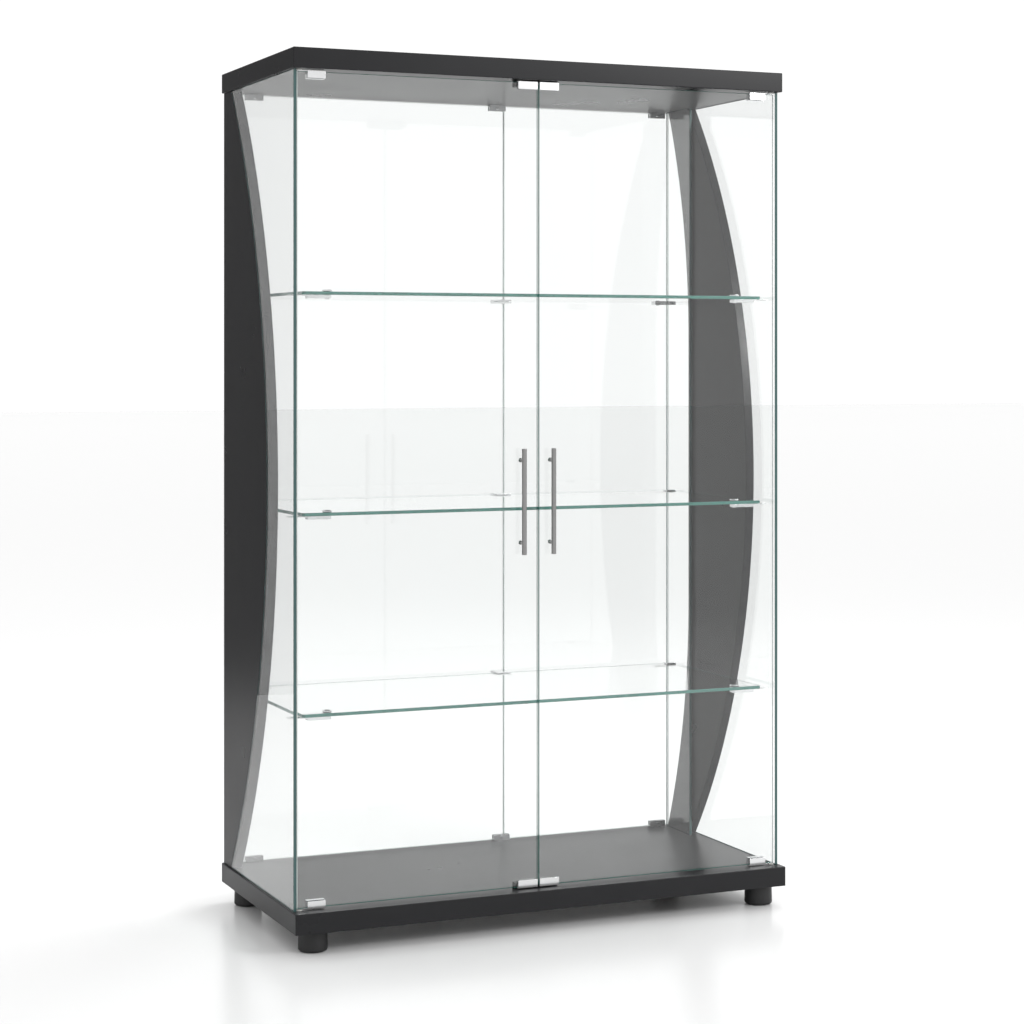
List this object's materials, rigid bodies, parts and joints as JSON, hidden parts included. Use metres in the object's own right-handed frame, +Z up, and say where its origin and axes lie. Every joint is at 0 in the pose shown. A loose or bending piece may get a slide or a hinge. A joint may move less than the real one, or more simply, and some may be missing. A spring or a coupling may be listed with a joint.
{
  "type": "curio cabinet",
  "caption": "Free-standing glazed display cabinet with thick dark top and base, curved side boards, glass shelves and a pair of glass doors with bar handles.",
  "frame": {"origin": "centre of the footprint at floor level", "axes": "+Z up, doors face -Y, +X to the right of someone facing the doors"},
  "size_m": [1, 0.47, 1.626],
  "materials": {
    "satin_black_board": "satin black foil or lacquer on fibreboard",
    "clear_glass": "clear tempered, polished green edges",
    "satin_metal": "satin nickel",
    "catch_plastic": "moulded",
    "foot_plastic": "moulded"
  },
  "bodies": {
    "carcass": {"base_panel": "satin_black_board", "top_panel": "satin_black_board", "side_board_left": "satin_black_board", "side_board_right": "satin_black_board", "foot_front_left": "foot_plastic", "foot_front_right": "foot_plastic", "foot_rear_left": "foot_plastic", "foot_rear_right": "foot_plastic", "side_glass_left": "clear_glass", "side_glass_right": "clear_glass", "corner_glass_right": "clear_glass", "back_glass_left": "clear_glass", "back_glass_right": "clear_glass", "back_clip_left_top": "satin_metal", "back_clip_left_bottom": "satin_metal", "back_clip_centre_top": "satin_metal", "back_clip_centre_bottom": "satin_metal", "back_clip_right_top": "satin_metal", "back_clip_right_bottom": "satin_metal", "shelf_lower": "clear_glass", "shelf_middle": "clear_glass", "shelf_upper": "clear_glass", "shelf_clip_lower_left_front": "satin_metal", "shelf_clip_lower_left_rear": "satin_metal", "shelf_clip_lower_right_front": "satin_metal", "shelf_clip_lower_right_rear": "satin_metal", "shelf_clip_lower_centre_rear": "satin_metal", "shelf_clip_middle_left_front": "satin_metal", "shelf_clip_middle_left_rear": "satin_metal", "shelf_clip_middle_right_front": "satin_metal", "shelf_clip_middle_right_rear": "satin_metal", "shelf_clip_middle_centre_rear": "satin_metal", "shelf_clip_upper_left_front": "satin_metal", "shelf_clip_upper_left_rear": "satin_metal", "shelf_clip_upper_right_front": "satin_metal", "shelf_clip_upper_right_rear": "satin_metal", "shelf_clip_upper_centre_rear": "satin_metal", "magnet_catch_top": "catch_plastic", "magnet_catch_bottom": "catch_plastic"},
    "left_door": {"door_glass_left": "clear_glass", "hinge_clamp_left_top": "satin_metal", "hinge_clamp_left_bottom": "satin_metal", "hinge_pin_left_top": "satin_metal", "hinge_pin_left_bottom": "satin_metal", "strike_plate_left_top": "satin_metal", "strike_plate_left_bottom": "satin_metal", "handle_left": "satin_metal", "handle_cap_left_lower": "satin_metal", "handle_cap_left_upper": "satin_metal"},
    "right_door": {"door_glass_right": "clear_glass", "hinge_clamp_right_top": "satin_metal", "hinge_clamp_right_bottom": "satin_metal", "hinge_pin_right_top": "satin_metal", "hinge_pin_right_bottom": "satin_metal", "strike_plate_right_top": "satin_metal", "strike_plate_right_bottom": "satin_metal", "handle_right": "satin_metal", "handle_cap_right_lower": "satin_metal", "handle_cap_right_upper": "satin_metal"}
  },
  "joints": [
    {"name": "left_door_swing", "type": "hinge", "parent": "carcass", "child": "left_door", "pos_m": [-0.4835, -0.2045, 0.831], "axis": [0, 0, -1], "range_deg": [0, 100]},
    {"name": "right_door_swing", "type": "hinge", "parent": "carcass", "child": "right_door", "pos_m": [0.4835, -0.2045, 0.831], "axis": [0, 0, 1], "range_deg": [0, 100]}
  ]
}
